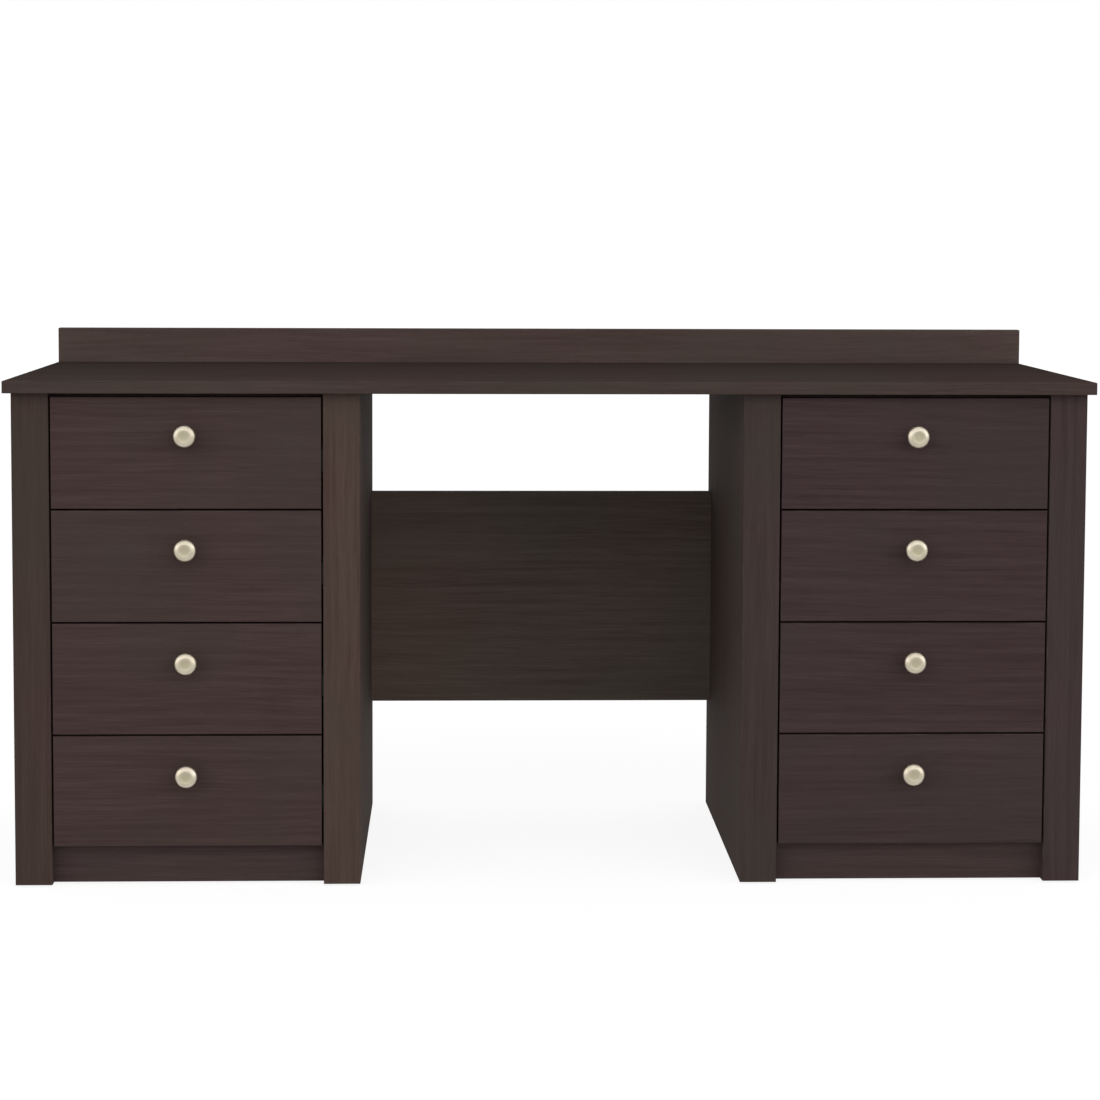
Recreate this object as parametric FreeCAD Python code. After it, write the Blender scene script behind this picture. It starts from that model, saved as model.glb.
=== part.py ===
# A double-pedestal desk in dark woodgrain board, with eight drawers. All lengths are in millimetres.
# +X is to the right seen from the front, +Y is to the back and +Z is up. The origin is on the floor,
# halfway across the width and halfway from the knobs' faces to the back. Drawers count from the top.

import FreeCAD, Part
import os

V = FreeCAD.Vector
across, deep, up = V(1, 0, 0), V(0, 1, 0), V(0, 0, 1)

# Worktop and upstand, whose thickness is part of the worktop's depth
desk_width = 1600.0
worktop_height = 750.0
worktop_depth = 500.0
worktop_thickness = 18.0
side_overhang = 10.0
front_overhang = 15.0
upstand_rise = 56.0
upstand_thickness = 18.0
edge_chamfer = 0.8

# Pedestals
pedestal_width = 508.0
stile_width = 54.0
stile_thickness = 18.0
gable_thickness = 18.0
plinth_top = 58.0
plinth_thickness = 18.0
base_thickness = 18.0
top_rail_width = 80.0
top_rail_thickness = 18.0
top_rail_setback = 2.0
batten_width = 60.0
back_thickness = 3.0
back_inset = 8.0
back_groove_depth = 6.0
groove_clearance = 0.2

# Modesty panel across the kneehole
modesty_top = 537.0
modesty_bottom = 187.0
modesty_thickness = 18.0
modesty_setback = 30.0

# Drawers
drawer_count = 4
drawer_gap = 3.0
drawer_top_gap = 6.0
front_thickness = 18.0
box_board = 12.0
box_lift = 12.0
box_drop = 33.0
box_back_clearance = 36.0
bottom_thickness = 3.0
bottom_lift = 10.0
bottom_groove_depth = 5.0

# Telescopic runners: a cabinet rail, a middle rail and a drawer rail, nested with ball cages between
runner_width = 12.7
runner_sheet = 1.2
runner_bend = 0.9
runner_setback = 2.0
runner_back_margin = 18.0
runner_drop = 62.0
cabinet_rail_height = 45.0
cabinet_rail_depth = 9.6
cabinet_rail_lip = 3.6
middle_rail_height = 34.0
middle_rail_gap = 0.6
middle_rail_depth = 8.6
middle_rail_lip = 2.6
drawer_rail_height = 24.0
drawer_rail_depth = 8.0
cage_width = 3.6
cage_clearance = 0.3

# Knobs, turned about an axis square to the drawer's front
knob_diameter = 34.0
knob_reach = 26.0
knob_drop = 56.0
knob_stem_diameter = 15.0
knob_stem_reach = 13.0
knob_rim_bevel = 1.5

# Corner blocks behind the modesty panel and the plinths, and glides under the gables
block_leg = 20.0
block_length = 36.0
block_chamfer = 9.0
modesty_block_end_margin = 30.0
plinth_block_end_margin = 60.0
glide_height = 3.0
glide_width = 14.0
glide_length = 30.0
glide_end_margin = 12.0

# Cuts run this far past the faces that they open
overrun = 1.0

# Depths, from the knobs' faces to the back
overall_depth = worktop_depth + knob_reach - front_overhang
desk_back = overall_depth / 2
worktop_front = desk_back - worktop_depth
upstand_front = desk_back - upstand_thickness
stile_front = worktop_front + front_overhang
carcass_front = stile_front + stile_thickness
back_front = desk_back - back_inset - back_thickness
base_front = carcass_front + plinth_thickness
modesty_back = desk_back - modesty_setback
modesty_front = modesty_back - modesty_thickness
box_front = stile_front + front_thickness
box_back = back_front - box_back_clearance
runner_front = max(carcass_front, box_front) + runner_setback
runner_back = box_back - runner_back_margin
runner_middle = (runner_front + runner_back) / 2

# Heights
worktop_underside = worktop_height - worktop_thickness
top_rail_bottom = worktop_underside - top_rail_thickness
base_bottom = plinth_top - base_thickness
front_pitch = (worktop_underside - plinth_top - drawer_top_gap) / drawer_count
front_height = front_pitch - drawer_gap
box_height = front_height - box_lift - box_drop

# Distances from the desk's middle, alike on both sides
outer_face = desk_width / 2 - side_overhang
inner_face = outer_face - pedestal_width
opening_outer = outer_face - stile_width
opening_inner = inner_face + stile_width
opening_middle = (opening_inner + opening_outer) / 2
gable_outer_inside = outer_face - gable_thickness
gable_inner_inside = inner_face + gable_thickness
half_front = (opening_outer - opening_inner) / 2 - drawer_gap
half_box = (opening_outer - opening_inner) / 2 - runner_width


def board(x, y, z):
    """A rectangular board between two places on each axis, given in either order."""
    low = V(min(x), min(y), min(z))
    size = V(max(x), max(y), max(z)) - low
    return Part.makeBox(size.x, size.y, size.z, low)


def eased(panel, *directions):
    """Chamfers all the edges of the panel's outermost faces in these directions."""
    found = []
    for direction in directions:
        reach = max(vertex.Point.dot(direction) for vertex in panel.Vertexes)
        for edge in panel.Edges:
            nearest = min(vertex.Point.dot(direction) for vertex in edge.Vertexes)
            if reach - nearest < edge_chamfer / 2 and not any(edge.isSame(other) for other in found):
                found.append(edge)
    return panel.makeChamfer(edge_chamfer, found)


def extruded(outline, path):
    """A solid whose flat outline is a closed list of points, drawn along a path."""
    return Part.Face(Part.makePolygon(outline + outline[:1])).extrude(path)


def turned(outline, foot, direction):
    """Turns an outline of (radius, distance along the axis) points about an axis from its foot."""
    points = [V(radius, 0, along) for radius, along in outline]
    solid = Part.Face(Part.makePolygon(points + points[:1])).revolve(V(0, 0, 0), up, 360)
    solid.Placement = FreeCAD.Placement(foot, FreeCAD.Rotation(up, direction))
    return solid


# The worktop and its upstand


def worktop():
    top = board(
        (-desk_width / 2, desk_width / 2),
        (worktop_front, upstand_front),
        (worktop_underside, worktop_height),
    )
    return eased(top, up, -up, across, -across)


def upstand():
    """The strip fixed along the worktop's back edge, which stands on the gables and rises above it."""
    strip = board(
        (-desk_width / 2, desk_width / 2),
        (upstand_front, desk_back),
        (worktop_underside, worktop_height + upstand_rise),
    )
    return eased(strip, up)


# The kneehole


def modesty_panel():
    panel = board(
        (-inner_face, inner_face),
        (modesty_front, modesty_back),
        (modesty_bottom, modesty_top),
    )
    return eased(panel, up, -up)


def corner_block(corner, leg_one, leg_two, length):
    """A block in a corner between two boards, with its outer edge cut off aslant."""
    slant = block_leg - block_chamfer
    outline = [
        corner,
        corner + leg_one * block_leg,
        corner + leg_one * block_leg + leg_two * slant,
        corner + leg_one * slant + leg_two * block_leg,
        corner + leg_two * block_leg,
    ]
    return extruded(outline, length * block_length)


def corner_blocks():
    """Two at each end of the modesty panel, and two behind each plinth under its base panel."""
    low = modesty_bottom + modesty_block_end_margin
    high = modesty_top - modesty_block_end_margin - block_length
    left = gable_inner_inside + plinth_block_end_margin
    right = gable_outer_inside - plinth_block_end_margin - block_length
    blocks = []
    for side in (-1, 1):
        for z in (low, high):
            corner = V(side * inner_face, modesty_back, z)
            blocks.append(corner_block(corner, -across * side, deep, up))
        for x in (left, right):
            corner = V(side * x, base_front, base_bottom)
            blocks.append(corner_block(corner, deep, -up, across * side))
    return blocks


# The pedestals


def gable(side, face, inside):
    """A full-depth side of a pedestal, from its face to the inside, with a groove for the back."""
    into_board = 1 if face > inside else -1
    panel = board(
        (side * face, side * inside),
        (carcass_front, desk_back),
        (glide_height, worktop_underside),
    )
    groove = board(
        (side * (inside - into_board * overrun), side * (inside + into_board * back_groove_depth)),
        (back_front - groove_clearance / 2, back_front + back_thickness + groove_clearance / 2),
        (base_bottom, worktop_underside + overrun),
    )
    return eased(panel, deep).cut(groove)


def stile(side, face, opening):
    """The broad post that covers a gable's front edge and the battens behind it."""
    post = board(
        (side * face, side * opening),
        (stile_front, carcass_front),
        (glide_height, worktop_underside),
    )
    return eased(post, -deep)


def plinth(side):
    return board(
        (side * gable_inner_inside, side * gable_outer_inside),
        (carcass_front, base_front),
        (glide_height, plinth_top),
    )


def base_panel(side):
    return board(
        (side * gable_inner_inside, side * gable_outer_inside),
        (base_front, back_front),
        (base_bottom, plinth_top),
    )


def back_panel(side):
    """The thin back, held in the gables' grooves behind the base and the rear top rail."""
    reach = back_groove_depth - groove_clearance / 2
    return board(
        (side * (gable_inner_inside - reach), side * (gable_outer_inside + reach)),
        (back_front, back_front + back_thickness),
        (base_bottom, worktop_underside),
    )


def top_rails(side):
    width = (side * gable_inner_inside, side * gable_outer_inside)
    rows = [
        (carcass_front + top_rail_setback, carcass_front + top_rail_setback + top_rail_width),
        (back_front - top_rail_width, back_front),
    ]
    return [board(width, row, (top_rail_bottom, worktop_underside)) for row in rows]


def packing_battens(side):
    """The upright battens that bring the runners out to the stiles' edges, two on each gable."""
    columns = [(gable_inner_inside, opening_inner), (opening_outer, gable_outer_inside)]
    rows = [(carcass_front, carcass_front + batten_width), (runner_back - batten_width, runner_back)]
    height = (plinth_top, top_rail_bottom)
    return [board((side * a, side * b), row, height) for a, b in columns for row in rows]


def floor_glides(side):
    """Flat glides under both gables of a pedestal, at the front and the back."""
    columns = [inner_face + gable_thickness / 2, outer_face - gable_thickness / 2]
    rows = [carcass_front + glide_end_margin, desk_back - glide_end_margin - glide_length]
    return [
        board(
            (side * x - glide_width / 2, side * x + glide_width / 2),
            (y, y + glide_length),
            (0, glide_height),
        )
        for x in columns
        for y in rows
    ]


# The drawers


def front_bottom(number):
    """The lower edge of a drawer's front. Number 1 is the top drawer."""
    return worktop_underside - drawer_top_gap - number * front_pitch + drawer_gap


def box_bottom(number):
    return front_bottom(number) + box_lift


def drawer_front(side, number):
    low = front_bottom(number)
    front = board(
        (side * opening_middle - half_front, side * opening_middle + half_front),
        (stile_front, box_front),
        (low, low + front_height),
    )
    return eased(front, -deep)


def drawer_box(side, number):
    """Two grooved sides, a grooved inner front, a back above the bottom, and the thin bottom."""
    middle = side * opening_middle
    half_inside = half_box - box_board
    low = box_bottom(number)
    high = low + box_height
    inner_face_of_front = box_front + box_board
    groove_half_width = half_inside + bottom_groove_depth
    groove_front = inner_face_of_front - bottom_groove_depth
    bottom_low = low + bottom_lift
    bottom_high = bottom_low + bottom_thickness
    groove = board(
        (middle - groove_half_width, middle + groove_half_width),
        (groove_front, box_back + overrun),
        (bottom_low - groove_clearance / 2, bottom_high + groove_clearance / 2),
    )
    left_side, right_side = (
        board((middle + a * half_inside, middle + a * half_box), (box_front, box_back), (low, high))
        for a in (-1, 1)
    )
    between_sides = (middle - half_inside, middle + half_inside)
    inner_front = board(between_sides, (box_front, inner_face_of_front), (low, high))
    back = board(between_sides, (box_back - box_board, box_back), (bottom_high, high))
    bottom = board(
        (
            middle - groove_half_width + groove_clearance / 2,
            middle + groove_half_width - groove_clearance / 2,
        ),
        (groove_front + groove_clearance / 2, box_back),
        (bottom_low, bottom_high),
    )
    return [piece.cut(groove) for piece in (left_side, right_side, inner_front)] + [back, bottom]


def knob(side, number):
    """A round knob on a stem, with a bevelled rim round its flat face."""
    rim, stem = knob_diameter / 2, knob_stem_diameter / 2
    outline = [
        (0, 0),
        (stem, 0),
        (stem, knob_stem_reach),
        (rim, knob_stem_reach),
        (rim, knob_reach - knob_rim_bevel),
        (rim - knob_rim_bevel, knob_reach),
        (0, knob_reach),
    ]
    height = front_bottom(number) + front_height - knob_drop
    return turned(outline, V(side * opening_middle, stile_front, height), -deep)


# The runners. Their sections are drawn as (distance from the batten's face, height above the middle).


def channel(start, depth, height, lip=0.0):
    """A rail's section: a web at the start, two flanges and, where there is a lip, their lips.
    The sheet is bent round at its outer corners, which are cut off there."""
    sheet, bend, half = runner_sheet, runner_bend, height / 2
    step = 1 if depth > 0 else -1
    web, tip = start + step * sheet, start + depth
    if lip:
        inside_lip = tip - step * sheet
        mouth = [(web, half - sheet), (inside_lip, half - sheet), (inside_lip, half - lip), (tip, half - lip)]
        edge = [(tip, half - bend), (tip - step * bend, half)]
    else:
        mouth = [(web, half - sheet), (tip, half - sheet)]
        edge = [(tip, half)]
    upper = mouth + edge + [(start + step * bend, half), (start, half - bend)]
    lower = [(u, -v) for u, v in reversed(upper)]
    return lower + upper


def on_both_flanks(side, number, section, front, back):
    """Draws a section along both flanks of a drawer, mirrored from one to the other."""
    middle_height = box_bottom(number) + box_height - runner_drop
    drawn = []
    for flank in (-1, 1):
        batten_face = side * opening_middle + flank * (half_box + runner_width)
        outline = [V(batten_face - flank * u, front, middle_height + v) for u, v in section]
        drawn.append(extruded(outline, deep * (back - front)))
    return drawn


def cabinet_rails(side, number):
    section = channel(0.0, cabinet_rail_depth, cabinet_rail_height, cabinet_rail_lip)
    return on_both_flanks(side, number, section, runner_front, runner_back)


def middle_rails(side, number):
    section = channel(
        runner_sheet + middle_rail_gap, middle_rail_depth, middle_rail_height, middle_rail_lip
    )
    return on_both_flanks(side, number, section, runner_front, runner_back)


def drawer_rails(side, number):
    section = channel(runner_width, -drawer_rail_depth, drawer_rail_height)
    return on_both_flanks(side, number, section, runner_front, runner_back)


def ball_cages(side, number):
    """The bars that hold the balls: outer ones in the rear half, and inner ones in the front half."""
    outer_end = cabinet_rail_depth - runner_sheet - cage_clearance
    inner_end = runner_sheet + middle_rail_gap + middle_rail_depth - runner_sheet - cage_clearance
    outer_race = (middle_rail_height / 2, cabinet_rail_height / 2 - runner_sheet)
    inner_race = (drawer_rail_height / 2, middle_rail_height / 2 - runner_sheet)
    bars = []
    for end, race, front, back in (
        (outer_end, outer_race, runner_middle, runner_back),
        (inner_end, inner_race, runner_front, runner_middle),
    ):
        low, high = race[0] + cage_clearance, race[1] - cage_clearance
        for above in (-1, 1):
            section = [
                (end - cage_width, above * low),
                (end, above * low),
                (end, above * high),
                (end - cage_width, above * high),
            ]
            bars += on_both_flanks(side, number, section, front, back)
    return bars


# The nodes, each with its own file


def both_sides(make):
    """What a function makes for the left pedestal and for the right one, as one list of solids."""
    found = []
    for side in sides.values():
        made = make(side)
        found += made if isinstance(made, list) else [made]
    return found


def carcass_nodes():
    nodes = {
        "desktop": [worktop()],
        "upstand": [upstand()],
        "modesty_panel": [modesty_panel()],
        "corner_blocks": corner_blocks(),
        "plinths": both_sides(plinth),
        "base_panels": both_sides(base_panel),
        "back_panels": both_sides(back_panel),
        "top_rails": both_sides(top_rails),
        "packing_battens": both_sides(packing_battens),
        "floor_glides": both_sides(floor_glides),
        "cabinet_rails": [],
    }
    for name, side in sides.items():
        nodes["outer_gable_" + name] = [gable(side, outer_face, gable_outer_inside)]
        nodes["inner_gable_" + name] = [gable(side, inner_face, gable_inner_inside)]
        nodes["outer_stile_" + name] = [stile(side, outer_face, opening_outer)]
        nodes["inner_stile_" + name] = [stile(side, inner_face, opening_inner)]
        for number in numbers:
            nodes["cabinet_rails"] += cabinet_rails(side, number)
    return nodes


def drawer_nodes():
    nodes = {}
    for name, side in sides.items():
        for number in numbers:
            place = f"{name}_{number}"
            nodes["drawer_front_" + place] = [drawer_front(side, number)]
            nodes["drawer_box_" + place] = drawer_box(side, number)
            nodes["knob_" + place] = [knob(side, number)]
            nodes["drawer_rails_" + place] = drawer_rails(side, number)
            nodes["middle_rails_" + place] = middle_rails(side, number) + ball_cages(side, number)
    return nodes


sides = {"left": -1, "right": 1}
numbers = range(1, drawer_count + 1)
os.makedirs("parts", exist_ok=True)
for node, solids in {**carcass_nodes(), **drawer_nodes()}.items():
    shape = solids[0] if len(solids) == 1 else Part.makeCompound(solids)
    shape.exportStep(f"parts/{node}.step")
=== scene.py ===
# A dark double-pedestal desk: finishes, turned knobs, screws and pins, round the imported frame
import math

import bmesh
import bpy
from mathutils import Matrix, Vector


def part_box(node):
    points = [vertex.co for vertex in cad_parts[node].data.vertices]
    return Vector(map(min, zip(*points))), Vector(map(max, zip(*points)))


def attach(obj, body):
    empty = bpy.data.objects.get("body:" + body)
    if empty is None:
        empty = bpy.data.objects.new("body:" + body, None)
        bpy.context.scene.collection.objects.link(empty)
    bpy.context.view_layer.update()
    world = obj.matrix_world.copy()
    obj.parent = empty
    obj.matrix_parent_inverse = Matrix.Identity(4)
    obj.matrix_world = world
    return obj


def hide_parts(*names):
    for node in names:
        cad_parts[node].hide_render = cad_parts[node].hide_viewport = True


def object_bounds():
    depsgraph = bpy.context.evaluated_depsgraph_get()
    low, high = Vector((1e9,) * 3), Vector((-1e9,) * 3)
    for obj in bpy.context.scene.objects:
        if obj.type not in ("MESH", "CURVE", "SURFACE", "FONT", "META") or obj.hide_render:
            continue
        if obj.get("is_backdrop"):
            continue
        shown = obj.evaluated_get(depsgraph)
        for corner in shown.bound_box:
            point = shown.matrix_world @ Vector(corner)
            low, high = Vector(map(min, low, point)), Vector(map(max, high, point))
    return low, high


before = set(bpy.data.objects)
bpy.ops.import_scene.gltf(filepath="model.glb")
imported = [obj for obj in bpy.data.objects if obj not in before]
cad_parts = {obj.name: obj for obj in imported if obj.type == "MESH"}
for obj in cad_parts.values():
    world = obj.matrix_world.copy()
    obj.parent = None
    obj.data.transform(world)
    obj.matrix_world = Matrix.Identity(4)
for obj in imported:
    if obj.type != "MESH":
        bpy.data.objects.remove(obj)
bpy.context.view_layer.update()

mm = 0.001
almost = 0.9      # a face looks along an axis if its normal lies at least this far along it
aside = (31 * mm, -17 * mm, 43 * mm)     # no two faces of a round piece are equally far from here
sides = ("left", "right")
drawersPerSide = 4      # number 1 is the top one
drawerPlaces = [f"{side}_{number + 1}" for side in sides for number in range(drawersPerSide)]


# Helpers for modelling with operators

def deselectAll():
    if bpy.context.object and bpy.context.object.mode != "OBJECT":
        bpy.ops.object.mode_set(mode="OBJECT")
    bpy.ops.object.select_all(action="DESELECT")


def startEdit():
    bpy.ops.object.mode_set(mode="EDIT")
    bpy.ops.mesh.select_mode(type="FACE")
    bpy.ops.mesh.select_all(action="DESELECT")


def selectFaces(piece, wanted):
    mesh = bmesh.from_edit_mesh(piece.data)
    for face in mesh.faces:
        face.select_set(wanted(face))
    bmesh.update_edit_mesh(piece.data)


def settleOrder():     # extrude leaves its faces in another order on each run
    cursor = bpy.context.scene.cursor
    cursor.location = aside
    bpy.ops.mesh.select_all(action="SELECT")
    bpy.ops.mesh.sort_elements(type="CURSOR_DISTANCE", elements={"VERT", "EDGE", "FACE"})
    cursor.location = (0, 0, 0)     # where the next primitive is added


def applyModifier(piece, kind, **settings):
    modifier = piece.modifiers.new(kind.lower(), kind)
    for setting, value in settings.items():
        setattr(modifier, setting, value)
    bpy.ops.object.modifier_apply(modifier=modifier.name)


def placedCopy(model, name, matrix):
    piece = model.copy()
    piece.data = model.data.copy()
    piece.name = piece.data.name = name
    piece.data.transform(matrix)
    bpy.context.collection.objects.link(piece)
    return piece


def facing(direction, place):     # turns a model's +Z to a direction and puts its foot at a place
    turn = Vector((0, 0, 1)).rotation_difference(Vector(direction))
    return Matrix.Translation(place) @ turn.to_matrix().to_4x4()


def joinedCopies(model, name, matrices):
    copies = [placedCopy(model, f"{name}_{index}", matrix) for index, matrix in enumerate(matrices)]
    deselectAll()
    for piece in copies:
        piece.select_set(True)
    bpy.context.view_layer.objects.active = copies[0]
    bpy.ops.object.join()
    whole = bpy.context.object
    whole.name = whole.data.name = name
    return whole


def handOver(piece, body, material):     # last step of every new piece
    piece.data.materials.clear()
    piece.data.materials.append(material)
    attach(piece, body)


# Helpers for materials: a range is the lowest and highest value that counts, shares add up two values

def newMaterial(name):
    material = bpy.data.materials.new(name)
    material.use_nodes = True
    material.node_tree.nodes.clear()
    return material, material.node_tree


def addNode(tree, kind, inputs=None, **settings):
    node = tree.nodes.new("ShaderNode" + kind)
    for setting, value in settings.items():
        setattr(node, setting, value)
    for socket, value in (inputs or {}).items():
        if isinstance(value, bpy.types.NodeSocket):
            tree.links.new(value, node.inputs[socket])
        else:
            node.inputs[socket].default_value = value
    return node


def calculate(tree, operation, *values):
    return addNode(tree, "Math", dict(enumerate(values)), operation=operation).outputs[0]


def addShares(tree, first, second, shares):
    return calculate(tree, "MULTIPLY_ADD", first, shares[0], calculate(tree, "MULTIPLY", second, shares[1]))


def scaleVector(tree, vector, times):
    return addNode(tree, "VectorMath", {0: vector, 1: times}, operation="MULTIPLY").outputs[0]


def spread(tree, value, fromRange, toRange=(0.0, 1.0)):     # what lies outside the range is cut off
    names = ("Value", "From Min", "From Max", "To Min", "To Max")
    inputs = dict(zip(names, (value, *fromRange, *toRange)))
    return addNode(tree, "MapRange", inputs, clamp=True).outputs[0]


def noise(tree, vector, width, detail=2.0, roughness=0.5):     # width is the size of its spots, in metres
    inputs = {"Vector": vector, "Scale": 1 / width, "Detail": detail, "Roughness": roughness}
    return addNode(tree, "TexNoise", inputs).outputs["Fac"]


def mixColours(tree, factor, first, second):     # sockets 6 and 7 are the node's two colours
    return addNode(tree, "Mix", {0: factor, 6: first, 7: second}, data_type="RGBA").outputs[2]


def mixVectors(tree, factor, first, second):     # sockets 4 and 5 are its two vectors
    return addNode(tree, "Mix", {0: factor, 4: first, 5: second}, data_type="VECTOR").outputs[1]


def opaque(colour):
    return (*colour, 1.0)


def bump(tree, height, depth, normal=None):
    inputs = {"Height": height, "Distance": depth}
    if normal:
        inputs["Normal"] = normal
    return addNode(tree, "Bump", inputs).outputs[0]


def output(tree, inputs):
    shader = addNode(tree, "BsdfPrincipled", inputs)
    addNode(tree, "OutputMaterial", {"Surface": shader.outputs[0]})


# Woodgrain boards

boardFinish = {
    "darkest": (0.0505, 0.0318, 0.0305),
    "middle": (0.0645, 0.0424, 0.0408),
    "lightest": (0.0775, 0.0532, 0.0512),
    "greyer": (0.0596, 0.0480, 0.0422),
    "rubbed": (0.105, 0.079, 0.069),
    "middlePlace": 0.5,                # of the middle colour, between the darkest and the lightest
    "specular": 0.025,
    "topSpecular": 0.0,                # the worktop shows no reflections, even seen aslant
    "roughness": (0.70, 0.84),
    "roughnessRange": (0.3, 0.7),
    "nextBoard": (0.731, 0.397, 1.13),     # how far on in the grain each next board is cut, in metres
    "stretch": 42,                     # the grain is this much longer than it is wide
    "bands": {"width": 9 * mm, "roughness": 0.55},
    "streaks": {"width": 2.0 * mm, "detail": 3.0, "roughness": 0.6},
    "grainShares": (0.5, 0.5),         # of the bands and the streaks
    "grainRange": (0.34, 0.66),
    "streakDepth": 0.02 * mm,
    "pores": {"width": 0.45 * mm, "detail": 1.0},
    "poreRange": (0.56, 0.66),
    "poreStrength": 0.35,
    "poreDepth": 0.05 * mm,
    "strays": {"width": 320 * mm, "detail": 1.0},
    "strayRange": (0.25, 0.75),
    "strayReach": (-4 * mm, 4 * mm),     # how far the grain wanders to either side
    "tones": {"width": 300 * mm},
    "toneRange": (0.4, 0.65),
    "toneStrength": (0.0, 0.6),
}
grainTurns = {"x": (0, 0, 0), "z": (0, math.pi / 2, 0)}
paintedLightTints = {      # painted light and shade: what each board's red, green and blue are multiplied by, lifting or lowering each board for the light it gets, the modesty panel most, out of the kneehole's shade
    "desktop": (1.04, 1.09, 1.02), "upstand": (1.53, 1.55, 1.47), "modesty_panel": (1.84, 1.98, 1.76),
    "inner_gable": (1.18, 1.28, 1.18), "outer_gable": (1.14, 1.13, 1.08),
    "inner_stile_left": (1.47, 1.42, 1.24), "inner_stile_right": (1.06, 1.10, 1.08),
    "outer_stile_left": (1.15, 1.12, 1.02), "outer_stile_right": (1.09, 1.05, 1.13),
    "drawer_front_left": (1.17, 1.13, 1.10), "drawer_front_right": (1.05, 1.01, 1.09),
    "plinths": (1.14, 1.14, 1.16),
}
paintedLightFades = {      # painted light and shade across a board: axis, share of the board that the fade takes, its tints where it starts and ends
    "desktop": ("y", 1.0, (1.15, 1.15, 1.15), (0.72, 0.72, 0.72)),           # painted shade: darker to the back under the upstand, paler to the front
    "modesty_panel": ("x", 0.5, (1.24, 1.18, 1.17), (0.87, 0.94, 0.92)),     # painted light: paler and warmer at its left
}
edging = {      # the strips glued on a board's ends have their grain along the strip
    "endsFrom": 0.7,     # how far a face's normal lies along the board's grain, at its ends
    "grain": {"y": (1, 0, 2), "z": (2, 1, 0)},     # how the axes change places for a strip along Y or Z
}
edgeWear = {      # patches along the bevelled edges
    "patches": {"width": 35 * mm, "detail": 3.0, "roughness": 0.6},
    "range": (0.45, 0.7),
}


def turnedOnEnds(tree, along, normal, strip):
    parts = addNode(tree, "SeparateXYZ", {0: along}).outputs
    order = enumerate(edging["grain"][strip])
    turned = addNode(tree, "CombineXYZ", {place: parts[axis] for place, axis in order}).outputs[0]
    endways = calculate(tree, "ABSOLUTE", addNode(tree, "SeparateXYZ", {0: normal}).outputs[0])
    return mixVectors(tree, calculate(tree, "GREATER_THAN", endways, edging["endsFrom"]), along, turned)


# Painted light and shade: a board's colours are scaled from one end to the other along an axis
def paintedLightFade(tree, colour, coordinates, name):
    axis, share, first, last = paintedLightFades[name]
    index = "xyz".index(axis)
    start, end = (corner[index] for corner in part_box(name))
    place = addNode(tree, "SeparateXYZ", {0: coordinates}).outputs[index]
    passed = spread(tree, place, (start, start + share * (end - start)))
    return scaleVector(tree, colour, mixColours(tree, passed, opaque(first), opaque(last)))


def worn(tree, normal, coordinates):     # 1 along bevelled edges where they are rubbed, else 0
    size = addNode(tree, "VectorMath", {0: normal}, operation="ABSOLUTE").outputs[0]
    parts = addNode(tree, "SeparateXYZ", {0: size}).outputs
    straightest = calculate(tree, "MAXIMUM", calculate(tree, "MAXIMUM", parts[0], parts[1]), parts[2])
    bevel = calculate(tree, "LESS_THAN", straightest, almost)
    rubbed = spread(tree, noise(tree, coordinates, **edgeWear["patches"]), edgeWear["range"])
    return calculate(tree, "MULTIPLY", bevel, rubbed)


def boardMaterial(name, grain, number):
    finish = boardFinish
    # painted light and shade: the board's colours are scaled for the light it gets
    lightScale = next((lightScale for start, lightScale in paintedLightTints.items() if name.startswith(start)), (1, 1, 1))
    darkest, middle, lightest, greyer = [
        opaque([part * times for part, times in zip(finish[tone], lightScale)])
        for tone in ("darkest", "middle", "lightest", "greyer")]
    material, tree = newMaterial("board_" + name)
    source = addNode(tree, "TexCoord").outputs
    shift = [number * step for step in finish["nextBoard"]]
    inputs = {"Vector": source["Object"], "Location": shift, "Rotation": grainTurns[grain]}
    along = addNode(tree, "Mapping", inputs).outputs[0]
    if grain == "x":
        along = turnedOnEnds(tree, along, source["Normal"], "y" if name == "desktop" else "z")
    stray = spread(tree, noise(tree, along, **finish["strays"]), finish["strayRange"], finish["strayReach"])
    moved = addNode(tree, "CombineXYZ", {1: stray, 2: stray}).outputs[0]
    wavy = addNode(tree, "VectorMath", {0: along, 1: moved}, operation="ADD").outputs[0]
    fibre = scaleVector(tree, wavy, (1 / finish["stretch"], 1, 1))

    streaks = noise(tree, fibre, **finish["streaks"])
    pores = spread(tree, noise(tree, fibre, **finish["pores"]), finish["poreRange"])
    grainTone = addShares(tree, noise(tree, fibre, **finish["bands"]), streaks, finish["grainShares"])
    ramp = addNode(tree, "ValToRGB", {"Fac": spread(tree, grainTone, finish["grainRange"])})
    stops = ramp.color_ramp.elements
    stops[0].color, stops[1].color = darkest, lightest
    stops.new(finish["middlePlace"]).color = middle
    tone = spread(tree, noise(tree, along, **finish["tones"]), finish["toneRange"], finish["toneStrength"])
    colour = mixColours(tree, tone, ramp.outputs[0], greyer)
    colour = mixColours(tree, calculate(tree, "MULTIPLY", pores, finish["poreStrength"]), colour, darkest)
    # painted light and shade fading across the board
    if name in paintedLightFades:
        colour = paintedLightFade(tree, colour, source["Object"], name)
    wear = worn(tree, source["Normal"], along)
    colour = mixColours(tree, wear, colour, opaque(finish["rubbed"]))

    roughness = spread(tree, streaks, finish["roughnessRange"], finish["roughness"])
    height = bump(tree, pores, -finish["poreDepth"])
    height = bump(tree, streaks, finish["streakDepth"], height)
    specular = finish["topSpecular"] if name == "desktop" else finish["specular"]
    output(tree, {"Base Color": colour, "Roughness": roughness, "Normal": height,
                  "Specular IOR Level": specular})
    return material


# Hardboard backs, with the faint mesh print that such board has behind

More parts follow.
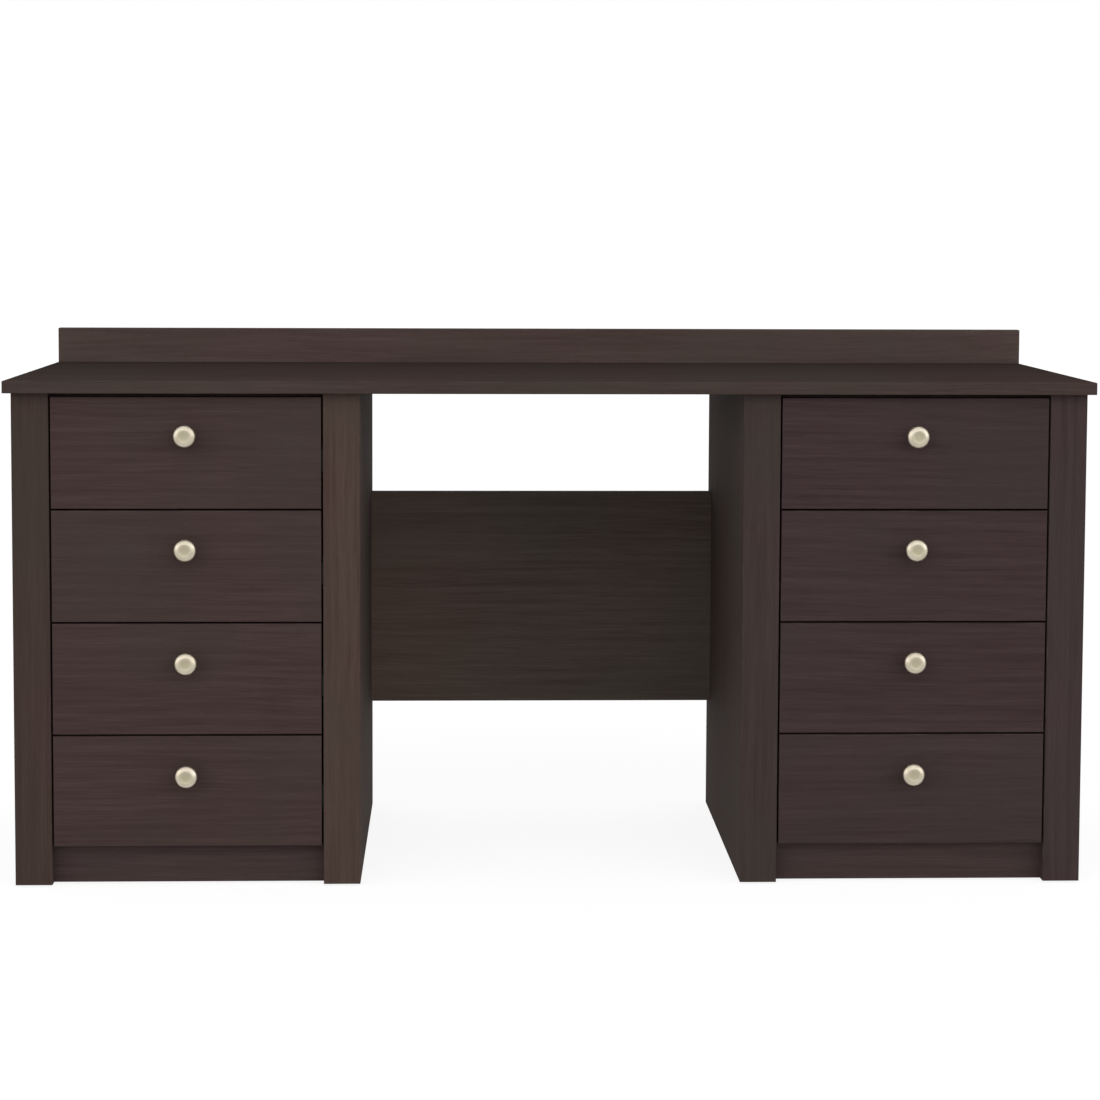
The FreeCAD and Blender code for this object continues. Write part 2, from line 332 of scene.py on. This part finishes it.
hardboardFinish = {
    "dark": (0.034, 0.0225, 0.0185),
    "light": (0.060, 0.0415, 0.0340),
    "specular": 0.15,
    "roughness": (0.6, 0.75),
    "roughnessRange": (0.3, 0.7),
    "meshPitch": 1.6 * mm,
    "meshDepth": 0.06 * mm,
    "fibres": {"width": 3 * mm, "detail": 4.0, "roughness": 0.65},
    "clouds": {"width": 120 * mm},
    "toneShares": (0.6, 0.4),     # of the fibres and the clouds
    "toneRange": (0.35, 0.65),
}


def hardboardMaterial():
    finish = hardboardFinish
    material, tree = newMaterial("dark_hardboard")
    place = addNode(tree, "TexCoord").outputs["Object"]
    fibres = noise(tree, place, **finish["fibres"])
    tone = addShares(tree, fibres, noise(tree, place, **finish["clouds"]), finish["toneShares"])
    tone = spread(tree, tone, finish["toneRange"])
    colour = mixColours(tree, tone, opaque(finish["dark"]), opaque(finish["light"]))
    turn = 2 * math.pi / finish["meshPitch"]
    parts = addNode(tree, "SeparateXYZ", {0: place}).outputs
    threads = [calculate(tree, "SINE", calculate(tree, "MULTIPLY", parts[axis], turn)) for axis in "XZ"]
    height = bump(tree, calculate(tree, "MULTIPLY", *threads), finish["meshDepth"])
    height = bump(tree, fibres, finish["meshDepth"], height)
    roughness = spread(tree, fibres, finish["roughnessRange"], finish["roughness"])
    output(tree, {"Base Color": colour, "Roughness": roughness, "Normal": height,
                  "Specular IOR Level": finish["specular"]})
    return material


# Pale foil on the drawer boxes, with a fine linen print

liningFinish = {
    "dark": (0.40, 0.345, 0.275),
    "light": (0.50, 0.44, 0.36),
    "specular": 0.35,
    "roughness": (0.42, 0.55),
    "roughnessRange": (1.2, 1.8),
    "slubs": {"width": 1.4 * mm},
    "slubSqueeze": 0.03,            # a thread's width as a share of its length
    "threadDepth": 0.02 * mm,
    "clouds": {"width": 60 * mm},
    "toneShares": (0.25, 0.25),     # of the three threads' sum and the clouds
    "toneRange": (0.38, 0.62),
}


def liningMaterial():
    finish = liningFinish
    material, tree = newMaterial("drawer_lining")
    place = addNode(tree, "TexCoord").outputs["Object"]
    slubs = []
    for lengthways in range(3):     # threads along X, Y and Z
        squeeze = [finish["slubSqueeze"] if axis == lengthways else 1 for axis in range(3)]
        slubs.append(noise(tree, scaleVector(tree, place, squeeze), **finish["slubs"]))
    linen = calculate(tree, "ADD", calculate(tree, "ADD", slubs[0], slubs[1]), slubs[2])
    tone = addShares(tree, linen, noise(tree, place, **finish["clouds"]), finish["toneShares"])
    tone = spread(tree, tone, finish["toneRange"])
    colour = mixColours(tree, tone, opaque(finish["dark"]), opaque(finish["light"]))
    roughness = spread(tree, linen, finish["roughnessRange"], finish["roughness"])
    output(tree, {"Base Color": colour, "Roughness": roughness,
                  "Normal": bump(tree, linen, finish["threadDepth"]),
                  "Specular IOR Level": finish["specular"]})
    return material


# Satin nickel on the knobs, turned in fine rings about each knob's own centre

nickelFinish = {
    "pale": (0.56, 0.505, 0.41),
    "warm": (0.50, 0.44, 0.34),
    "centre": (0.385, 0.350, 0.245),          # painted reflection: the face's middle is darker, standing in for the dark surroundings it reflects
    "centreBlend": (5.4 * mm, 11.4 * mm),     # radius where the painted dark centre starts to fade, and where it ends
    "roughness": (0.30, 0.42),
    "ringPitch": 0.35 * mm,
    "ringDepth": 0.004 * mm,
    "clouds": {"width": 14 * mm, "detail": 3.0, "roughness": 0.6},
    "specks": {"width": 0.5 * mm},
    "speckShares": (0.5, 0.5),                # of the specks and the clouds, in the roughness
    "cloudRange": (0.35, 0.65),
}


def nickelMaterial():
    finish = nickelFinish
    material, tree = newMaterial("satin_nickel")
    turning = addNode(tree, "UVMap", uv_map="turning").outputs[0]     # metres from the knob's centre
    radius = addNode(tree, "VectorMath", {0: turning}, operation="LENGTH").outputs["Value"]
    rings = calculate(tree, "SINE", calculate(tree, "MULTIPLY", radius, 2 * math.pi / finish["ringPitch"]))
    place = addNode(tree, "TexCoord").outputs["Object"]
    clouds = noise(tree, place, **finish["clouds"])
    specks = noise(tree, place, **finish["specks"])
    colour = mixColours(tree, spread(tree, clouds, finish["cloudRange"]),
                        opaque(finish["pale"]), opaque(finish["warm"]))
    # painted reflection: the face's middle is darkened towards the centre colour
    beyondPaintedCentre = spread(tree, radius, finish["centreBlend"])
    colour = mixColours(tree, beyondPaintedCentre, opaque(finish["centre"]), colour)
    tone = addShares(tree, specks, clouds, finish["speckShares"])
    roughness = spread(tree, tone, finish["cloudRange"], finish["roughness"])
    output(tree, {"Base Color": colour, "Metallic": 1.0, "Roughness": roughness,
                  "Normal": bump(tree, rings, finish["ringDepth"])})
    return material


# Zinc plate: left bright on the screws and pins, blackened on the runners

zincFinish = {
    "bright_zinc": ((0.66, 0.67, 0.68), (0.45, 0.46, 0.48)),
    "black_zinc": ((0.075, 0.074, 0.077), (0.035, 0.035, 0.038)),
    "roughness": (0.26, 0.46),
    "spangleWidth": 3 * mm,
    "lines": {"width": 0.4 * mm},     # fine lines along the rail from rolling
    "lineSqueeze": (1, 0.02, 1),
    "lineDepth": 0.006 * mm,
    "toneShares": (0.25, 0.75),       # of the spangles and the lines
    "toneRange": (0.25, 0.75),
}


def zincMaterial(name):
    finish = zincFinish
    pale, dull = finish[name]
    material, tree = newMaterial(name)
    place = addNode(tree, "TexCoord").outputs["Object"]
    inputs = {"Vector": place, "Scale": 1 / finish["spangleWidth"]}
    spangle = addNode(tree, "TexVoronoi", inputs, feature="SMOOTH_F1").outputs["Distance"]
    lines = noise(tree, scaleVector(tree, place, finish["lineSqueeze"]), **finish["lines"])
    tone = spread(tree, addShares(tree, spangle, lines, finish["toneShares"]), finish["toneRange"])
    colour = mixColours(tree, tone, opaque(pale), opaque(dull))
    roughness = spread(tree, tone, (0.0, 1.0), finish["roughness"])
    output(tree, {"Base Color": colour, "Metallic": 1.0, "Roughness": roughness,
                  "Normal": bump(tree, lines, finish["lineDepth"])})
    return material


# Moulded plastic on blocks and glides

plasticFinish = {
    "dark": (0.020, 0.0140, 0.0120),
    "light": (0.034, 0.0250, 0.0210),
    "specular": 0.4,
    "roughness": (0.42, 0.58),
    "roughnessRange": (0.3, 0.7),
    "grit": {"width": 0.35 * mm},
    "gritDepth": 0.02 * mm,
    "flow": {"width": 14 * mm},
    "flowRange": (0.35, 0.65),
}


def plasticMaterial():
    finish = plasticFinish
    material, tree = newMaterial("dark_plastic")
    place = addNode(tree, "TexCoord").outputs["Object"]
    grit = noise(tree, place, **finish["grit"])
    flow = spread(tree, noise(tree, place, **finish["flow"]), finish["flowRange"])
    colour = mixColours(tree, flow, opaque(finish["dark"]), opaque(finish["light"]))
    roughness = spread(tree, grit, finish["roughnessRange"], finish["roughness"])
    output(tree, {"Base Color": colour, "Roughness": roughness,
                  "Normal": bump(tree, grit, finish["gritDepth"]),
                  "Specular IOR Level": finish["specular"]})
    return material


hardboard = hardboardMaterial()
lining = liningMaterial()
nickel = nickelMaterial()
brightZinc = zincMaterial("bright_zinc")
blackZinc = zincMaterial("black_zinc")
plastic = plasticMaterial()
print("finishes made")


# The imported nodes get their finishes: every board has its own piece of the grain

grainDirections = {
    "desktop": "x", "upstand": "x", "modesty_panel": "x", "plinths": "x", "base_panels": "x",
    "top_rails": "x", "packing_battens": "z",
    "outer_gable": "z", "inner_gable": "z", "outer_stile": "z", "inner_stile": "z", "drawer_front": "x",
}
otherFinishes = {
    "back_panels": hardboard, "corner_blocks": plastic, "floor_glides": plastic,
    "drawer_box": lining, "cabinet_rails": blackZinc, "middle_rails": blackZinc, "drawer_rails": blackZinc,
}


def nodeMaterial(name, number):
    for start, grain in grainDirections.items():
        if name.startswith(start):
            return boardMaterial(name, grain, number)
    for start, material in otherFinishes.items():
        if name.startswith(start):
            return material


for number, (name, node) in enumerate(sorted(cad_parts.items())):
    if not name.startswith("knob"):
        node.data.materials.clear()
        node.data.materials.append(nodeMaterial(name, number))
print("packed nodes finished")


# Knobs: a disc drawn out step by step along its axis, then smoothed

knobShape = {
    "segments": 40,
    "smoothing": 1,
    "profile": [      # (distance from the drawer's front, radius), in mm
        (0.0, 8.6), (0.5, 9.0), (1.3, 9.0), (1.9, 8.3), (3.4, 6.9), (6.5, 6.0), (9.5, 6.6), (12.0, 8.8),
        (13.6, 12.2), (14.6, 15.0), (15.8, 16.5), (17.6, 17.0), (20.2, 16.8), (22.4, 15.8),
        (24.1, 14.0), (25.2, 12.0), (25.8, 10.4), (25.95, 9.4), (25.85, 8.4), (25.55, 7.0), (25.3, 4.8),
        (25.2, 2.4),
    ],
}


def makeKnob():     # its axis is Y, its foot at the origin, its face towards -Y
    shape = knobShape
    steps = [(along * mm, radius * mm) for along, radius in shape["profile"]]
    deselectAll()
    bpy.ops.mesh.primitive_circle_add(
        vertices=shape["segments"], radius=steps[0][1], fill_type="NGON", rotation=(math.pi / 2, 0, 0))
    knob = bpy.context.object
    bpy.ops.object.transform_apply(location=False, rotation=True, scale=False)
    startEdit()
    bpy.ops.mesh.select_all(action="SELECT")
    for (here, radius), (there, nextRadius) in zip(steps, steps[1:]):
        bpy.ops.mesh.extrude_region_move(TRANSFORM_OT_translate={"value": (0, here - there, 0)})
        share = nextRadius / radius
        bpy.ops.transform.resize(value=(share, 1, share), center_override=(0, -there, 0))
    bpy.ops.mesh.select_all(action="SELECT")
    bpy.ops.mesh.normals_make_consistent(inside=False)
    settleOrder()
    bpy.ops.object.mode_set(mode="OBJECT")
    applyModifier(knob, "SUBSURF", levels=shape["smoothing"], render_levels=shape["smoothing"])
    bpy.ops.object.shade_smooth()
    turning = knob.data.uv_layers.new(name="turning")
    for loop in knob.data.loops:
        corner = knob.data.vertices[loop.vertex_index].co
        turning.data[loop.index].uv = (corner.x, corner.z)
    return knob


knobModel = makeKnob()
for place in drawerPlaces:
    low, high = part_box("knob_" + place)
    foot = Vector(((low.x + high.x) / 2, high.y, (low.z + high.z) / 2))
    knob = placedCopy(knobModel, "turned_knob_" + place, Matrix.Translation(foot))
    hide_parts("knob_" + place)
    handOver(knob, "drawer_" + place, nickel)
bpy.data.objects.remove(knobModel)
print("knobs made")


# Screw and pin heads start as the same domed disc, which stands on the ground plane

def makeDomedDisc(shape):     # it is left in edit mode, to be shaped further
    deselectAll()
    bpy.ops.mesh.primitive_cylinder_add(
        vertices=shape["vertices"], radius=shape["headRadius"], depth=shape["headHeight"],
        location=(0, 0, shape["headHeight"] / 2))
    disc = bpy.context.object
    bpy.ops.object.transform_apply(location=True, rotation=False, scale=False)
    startEdit()
    selectFaces(disc, lambda face: face.normal.z > almost)
    bpy.ops.mesh.bevel(
        offset=shape["domeBevel"], segments=shape["domeSegments"], profile=shape["domeProfile"])
    return disc


# Screws: a domed head with a cross recess, its foot at the origin and its top towards +Z

screwShape = {
    "vertices": 16,
    "headRadius": 3.6 * mm,
    "headHeight": 1.7 * mm,
    "domeBevel": 0.9 * mm,
    "domeSegments": 2,
    "domeProfile": 0.6,
    "crossLength": 4.4 * mm,
    "crossWidth": 0.9 * mm,
    "crossDepth": 1.1 * mm,
    "smoothUnder": 35,      # degrees
}


def makeScrewHead():
    shape = screwShape
    head = makeDomedDisc(shape)
    bpy.ops.object.mode_set(mode="OBJECT")
    for turn in (0, math.pi / 2):
        deselectAll()
        bpy.ops.mesh.primitive_cube_add(size=1, location=(0, 0, shape["headHeight"]), rotation=(0, 0, turn))
        cutter = bpy.context.object
        cutter.scale = (shape["crossLength"], shape["crossWidth"], 2 * shape["crossDepth"])
        deselectAll()
        head.select_set(True)
        bpy.context.view_layer.objects.active = head
        applyModifier(head, "BOOLEAN", object=cutter, operation="DIFFERENCE", solver="EXACT")
        bpy.data.objects.remove(cutter)
    bpy.ops.object.shade_smooth_by_angle(angle=math.radians(shape["smoothUnder"]))
    return head


screwModel = makeScrewHead()

# Inside each drawer: four screws hold the front, and the knob's own screw has a larger head
frontScrews = {
    "boxBoard": 12 * mm,
    "sideMargin": 42 * mm,
    "lowMargin": 34 * mm,
    "highMargin": 22 * mm,
    "knobHeadScale": 1.35,
}
for place in drawerPlaces:
    low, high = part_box("drawer_box_" + place)
    knobLow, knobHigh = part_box("knob_" + place)
    face = low.y + frontScrews["boxBoard"]
    matrices = [
        facing((0, 1, 0), Vector((x, face, z)))
        for x in (low.x + frontScrews["sideMargin"], high.x - frontScrews["sideMargin"])
        for z in (low.z + frontScrews["lowMargin"], high.z - frontScrews["highMargin"])
    ]
    knobScrew = Vector(((knobLow.x + knobHigh.x) / 2, face, (knobLow.z + knobHigh.z) / 2))
    matrices.append(facing((0, 1, 0), knobScrew) @ Matrix.Scale(frontScrews["knobHeadScale"], 4))
    screws = joinedCopies(screwModel, "front_screws_" + place, matrices)
    handOver(screws, "drawer_" + place, brightZinc)

# On each drawer rail: three screws through its web into the drawer's side
railScrews = {
    "sheet": 1.2 * mm,
    "endMargin": 30 * mm,
    "perRail": 3,
    "headScale": 0.85,
}
for place in drawerPlaces:
    low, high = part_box("drawer_box_" + place)
    railLow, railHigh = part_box("drawer_rails_" + place)
    front, back = railLow.y + railScrews["endMargin"], railHigh.y - railScrews["endMargin"]
    step = (back - front) / (railScrews["perRail"] - 1)
    matrices = []
    for outwards, flank in ((-1, low.x), (1, high.x)):
        for index in range(railScrews["perRail"]):
            spot = Vector((flank + outwards * railScrews["sheet"], front + index * step,
                           (railLow.z + railHigh.z) / 2))
            matrices.append(facing((outwards, 0, 0), spot) @ Matrix.Scale(railScrews["headScale"], 4))
    screws = joinedCopies(screwModel, "rail_screws_" + place, matrices)
    handOver(screws, "drawer_" + place, brightZinc)

# In each corner block behind the modesty panel: one screw into the panel and one into the gable
blockScrews = {
    "leg": 20 * mm,
    "length": 36 * mm,
    "endMargin": 30 * mm,      # from the panel's top and bottom edges
    "inFromFace": 5.5 * mm,
    "shares": (0.32, 0.68),    # of the block's length
}
panelLow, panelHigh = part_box("modesty_panel")
feet = (panelLow.z + blockScrews["endMargin"],
        panelHigh.z - blockScrews["endMargin"] - blockScrews["length"])
matrices = []
for outwards, gable in ((-1, panelLow.x), (1, panelHigh.x)):
    for foot in feet:
        panelScrew, gableScrew = (foot + share * blockScrews["length"] for share in blockScrews["shares"])
        matrices.append(facing((0, 1, 0), Vector((
            gable - outwards * blockScrews["inFromFace"], panelHigh.y + blockScrews["leg"], panelScrew))))
        matrices.append(facing((-outwards, 0, 0), Vector((
            gable - outwards * blockScrews["leg"], panelHigh.y + blockScrews["inFromFace"], gableScrew))))
screws = joinedCopies(screwModel, "corner_block_screws", matrices)
handOver(screws, "carcass", brightZinc)


# The screws under a pedestal's top rails and the pins on its back lie about the middle of its fronts

def frontSpan(side):
    low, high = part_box(f"drawer_front_{side}_1")
    return low.x, high.x


# Under the top rails: screws up into the worktop
topScrews = {
    "railWidth": 80 * mm,
    "perRail": 3,
    "spacing": 150 * mm,
}
railLow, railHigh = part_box("top_rails")
matrices = []
for side in sides:
    middle = sum(frontSpan(side)) / 2
    for y in (railLow.y + topScrews["railWidth"] / 2, railHigh.y - topScrews["railWidth"] / 2):
        for index in range(topScrews["perRail"]):
            x = middle + (index - (topScrews["perRail"] - 1) / 2) * topScrews["spacing"]
            matrices.append(facing((0, 0, -1), Vector((x, y, railLow.z))))
screws = joinedCopies(screwModel, "top_rail_screws", matrices)
handOver(screws, "carcass", brightZinc)
bpy.data.objects.remove(screwModel)
print("screws made")


# Pins that hold each hardboard back to the base and the rear top rail: a low domed head on a shank

pinShape = {
    "vertices": 16,
    "headRadius": 2.6 * mm,
    "headHeight": 1.0 * mm,
    "domeBevel": 0.7 * mm,
    "domeSegments": 3,
    "domeProfile": 0.6,
    "shankRadius": 0.8 * mm,
    "shankLength": 2.5 * mm,      # it ends inside the hardboard
    "smoothUnder": 40,            # degrees
}
pinRows = {
    "perRow": 6,
    "sideMargin": 36 * mm,
    "edgeMargin": 9 * mm,
}


def makePin():     # its head stands on the ground plane, towards +Z
    shape = pinShape
    pin = makeDomedDisc(shape)
    selectFaces(pin, lambda face: face.normal.z < -almost)
    bpy.ops.mesh.inset(thickness=shape["headRadius"] - shape["shankRadius"])
    bpy.ops.mesh.extrude_region_move(TRANSFORM_OT_translate={"value": (0, 0, -shape["shankLength"])})
    settleOrder()
    bpy.ops.object.mode_set(mode="OBJECT")
    bpy.ops.object.shade_smooth_by_angle(angle=math.radians(shape["smoothUnder"]))
    return pin


pinModel = makePin()
backLow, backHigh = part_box("back_panels")
matrices = []
for side in sides:
    first, last = frontSpan(side)
    first, last = first + pinRows["sideMargin"], last - pinRows["sideMargin"]
    step = (last - first) / (pinRows["perRow"] - 1)
    for z in (backLow.z + pinRows["edgeMargin"], backHigh.z - pinRows["edgeMargin"]):
        for index in range(pinRows["perRow"]):
            matrices.append(facing((0, 1, 0), Vector((first + index * step, backHigh.y, z))))
pins = joinedCopies(pinModel, "back_panel_pins", matrices)
handOver(pins, "carcass", brightZinc)
bpy.data.objects.remove(pinModel)
print("pins made")


# Studio: a pale floor that keeps the shadow, a white surround and broad soft lamps

studio = {
    "ambient": (0.44, 0.44, 0.44),
    "surroundColour": (1, 1, 1),
    "floorColour": (0.60, 0.60, 0.60),
    "seenFloorColour": (0.25, 0.25, 0.25),     # the share of the seen floor that takes the shadow
    "seenFloorGlow": 0.87,
    "floorSize": 60.0,
    "floorSquares": 8,
    "lampDistance": 4.0,
    "lamps": {      # (bearing from the front, height above the horizon, strength, width of the soft disc)
        "front_lamp": (4, 4, 1.22, 110),
        "left_lamp": (-66, 12, 0.60, 50),
        "right_lamp": (64, 12, 0.54, 50),
        "top_lamp": (20, 76, 0.16, 90),
    },
}


def seenDirectly(tree):     # 1 for what the camera sees, straight, through glass or in a reflection
    path = addNode(tree, "LightPath").outputs
    seen = calculate(tree, "MAXIMUM", path["Is Camera Ray"], path["Is Glossy Ray"])
    return calculate(tree, "MAXIMUM", seen, path["Is Transmission Ray"])


def makeFloor():
    squares = studio["floorSquares"]
    deselectAll()
    bpy.ops.mesh.primitive_grid_add(x_subdivisions=squares, y_subdivisions=squares, size=studio["floorSize"])
    floor = bpy.context.object
    floor.name = "floor"
    material, tree = newMaterial("pale_floor")
    plain = addNode(tree, "BsdfDiffuse", {"Color": opaque(studio["floorColour"])}).outputs[0]
    shaded = addNode(tree, "BsdfDiffuse", {"Color": opaque(studio["seenFloorColour"])}).outputs[0]
    glow = addNode(tree, "Emission", {"Strength": studio["seenFloorGlow"]}).outputs[0]
    seen = addNode(tree, "AddShader", {0: shaded, 1: glow}).outputs[0]
    mixed = addNode(tree, "MixShader", {0: seenDirectly(tree), 1: plain, 2: seen}).outputs[0]
    addNode(tree, "OutputMaterial", {"Surface": mixed})
    floor.data.materials.append(material)
    floor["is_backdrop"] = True


def makeSurround():
    world = bpy.data.worlds.new("surround")
    bpy.context.scene.world = world
    world.use_nodes = True
    tree = world.node_tree
    tree.nodes.clear()
    light = addNode(tree, "Background", {"Color": opaque(studio["ambient"])}).outputs[0]
    white = addNode(tree, "Background", {"Color": opaque(studio["surroundColour"])}).outputs[0]
    mixed = addNode(tree, "MixShader", {0: seenDirectly(tree), 1: light, 2: white}).outputs[0]
    addNode(tree, "OutputWorld", {"Surface": mixed})


def makeLamps():
    for name, (bearing, height, strength, width) in studio["lamps"].items():
        around, up = math.radians(bearing), math.radians(height)
        towards = Vector((math.sin(around) * math.cos(up), -math.cos(around) * math.cos(up), math.sin(up)))
        turn = towards.to_track_quat("Z", "Y").to_euler()
        bpy.ops.object.light_add(type="SUN", location=studio["lampDistance"] * towards, rotation=turn)
        lamp = bpy.context.object
        lamp.name = lamp.data.name = name
        lamp.data.energy = strength
        lamp.data.angle = math.radians(width)


makeFloor()
makeSurround()
makeLamps()
print("studio made")


# Camera: a long lens in front of the desk's middle, a little above the worktop

cameraSetting = {
    "place": (-0.1351, -3.6219, 0.9772),
    "downwards": 3.651,      # degrees, as the next two
    "leftwards": -1.623,
    "roll": 0.206,
    "lens": 76.02,
    "shift": (0.0217, -0.16),
}


def makeCamera():
    setting = cameraSetting
    turn = (Matrix.Rotation(math.radians(setting["leftwards"]), 4, "Z")
            @ Matrix.Rotation(math.pi / 2 - math.radians(setting["downwards"]), 4, "X")
            @ Matrix.Rotation(math.radians(setting["roll"]), 4, "Z"))
    bpy.ops.object.camera_add(location=setting["place"], rotation=turn.to_euler())
    camera = bpy.context.object
    camera.name = "camera"
    camera.data.lens = setting["lens"]
    camera.data.shift_x, camera.data.shift_y = setting["shift"]
    bpy.context.scene.camera = camera


makeCamera()
bpy.context.scene.view_settings.view_transform = "Standard"
print("camera made")

low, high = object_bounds()
